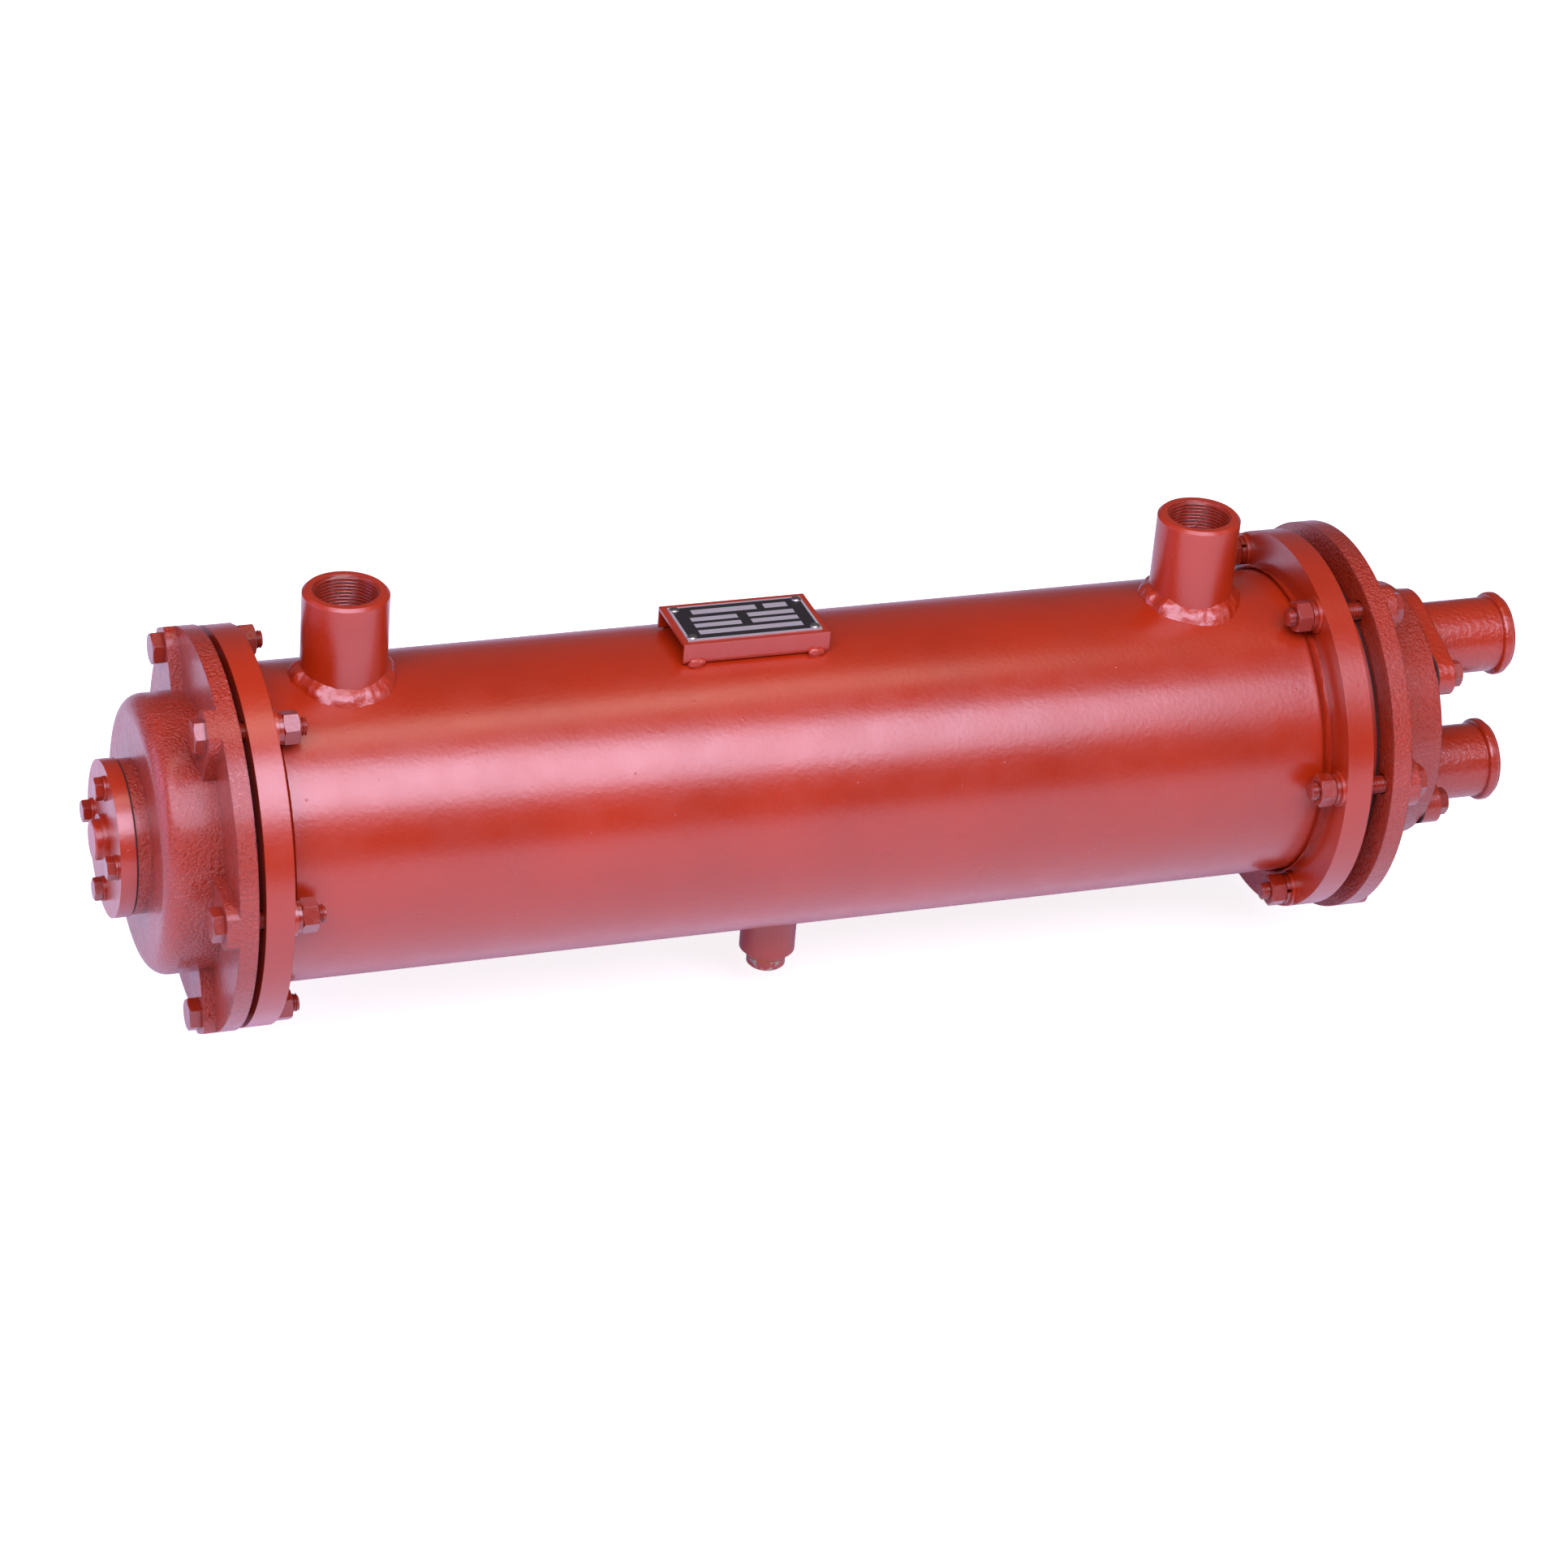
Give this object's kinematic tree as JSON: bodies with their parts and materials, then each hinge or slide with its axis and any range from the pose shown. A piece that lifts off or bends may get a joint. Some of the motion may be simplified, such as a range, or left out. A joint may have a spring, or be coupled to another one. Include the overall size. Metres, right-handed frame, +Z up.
{
  "type": "hydraulic oil cooler",
  "caption": "Shell-and-tube oil cooler: painted steel shell with two threaded oil ports, bolted end covers, hose nozzles, drain plug and nameplate bracket.",
  "frame": {"origin": "on the shell axis, midway between the inner faces of the two body flanges", "axes": "+X along the shell axis towards the water nozzles, +Z up through the oil ports"},
  "size_m": [0.9701, 0.261, 0.308],
  "materials": {
    "painted_steel": "satin",
    "painted_casting": "rough cast, satin paint",
    "chipped_plug": "chipped satin paint over steel",
    "gasket_fibre": "matt",
    "nitrile_rubber": "satin",
    "copper_washer": "satin",
    "zinc": "cast",
    "plate_aluminium": "brushed",
    "rivet_aluminium": "polished",
    "copper_tube": "drawn",
    "naval_brass": "machined",
    "plain_steel": "mill"
  },
  "bodies": {
    "cooler": {"anode_plate": "painted_steel", "anode_plate_bolts": "painted_steel", "anode_plate_gasket": "gasket_fibre", "anode_plate_washers": "painted_steel", "anode_plug": "painted_steel", "baffle_1": "plain_steel", "baffle_2": "plain_steel", "baffle_3": "plain_steel", "baffle_4": "plain_steel", "baffle_5": "plain_steel", "baffle_6": "plain_steel", "baffle_spacers": "plain_steel", "bracket_tack_welds": "painted_steel", "drain_boss": "painted_steel", "drain_weld": "painted_steel", "fixed_tube_sheet": "naval_brass", "floating_sheet_o_rings": "nitrile_rubber", "floating_tube_sheet": "naval_brass", "inner_tube_sheet_gasket": "gasket_fibre", "left_body_flange": "painted_steel", "left_cover_bolts": "painted_steel", "left_cover_gasket": "gasket_fibre", "left_cover_nuts": "painted_steel", "left_end_cover": "painted_casting", "left_flange_weld": "painted_steel", "left_flat_washers": "painted_steel", "left_oil_port": "painted_steel", "left_port_weld": "painted_steel", "left_spring_washers": "painted_steel", "lower_nozzle_gasket": "gasket_fibre", "lower_water_nozzle": "painted_steel", "nameplate": "plate_aluminium", "nameplate_bracket": "painted_steel", "nameplate_rivets": "rivet_aluminium", "nozzle_bolts": "painted_steel", "nozzle_washers": "painted_steel", "outer_tube_sheet_gasket": "gasket_fibre", "right_body_flange": "painted_steel", "right_cover_bolts": "painted_steel", "right_cover_nuts": "painted_steel", "right_end_cover": "painted_casting", "right_flange_weld": "painted_steel", "right_flat_washers": "painted_steel", "right_oil_port": "painted_steel", "right_port_weld": "painted_steel", "right_spring_washers": "painted_steel", "shell": "painted_steel", "tie_rod_nuts": "plain_steel", "tie_rods": "plain_steel", "tubes": "copper_tube", "upper_nozzle_gasket": "gasket_fibre", "upper_water_nozzle": "painted_steel", "zinc_anode": "zinc"},
    "seal": {"drain_plug_washer": "copper_washer"},
    "plug": {"drain_plug": "chipped_plug"}
  },
  "joints": [
    {"name": "drain_plug_lift", "type": "slide", "parent": "cooler", "child": "seal", "axis": [0, 0, -1], "range_m": [0, 0.016]},
    {"name": "drain_plug_turn", "type": "hinge", "parent": "seal", "child": "plug", "pos_m": [0.005, 0, -0.138], "axis": [0, 0, 1], "range_deg": [0, 3175]}
  ],
  "couplings": [
    {"joint": "drain_plug_lift", "follows": "drain_plug_turn", "m_per_rad": 0.00028871}
  ]
}
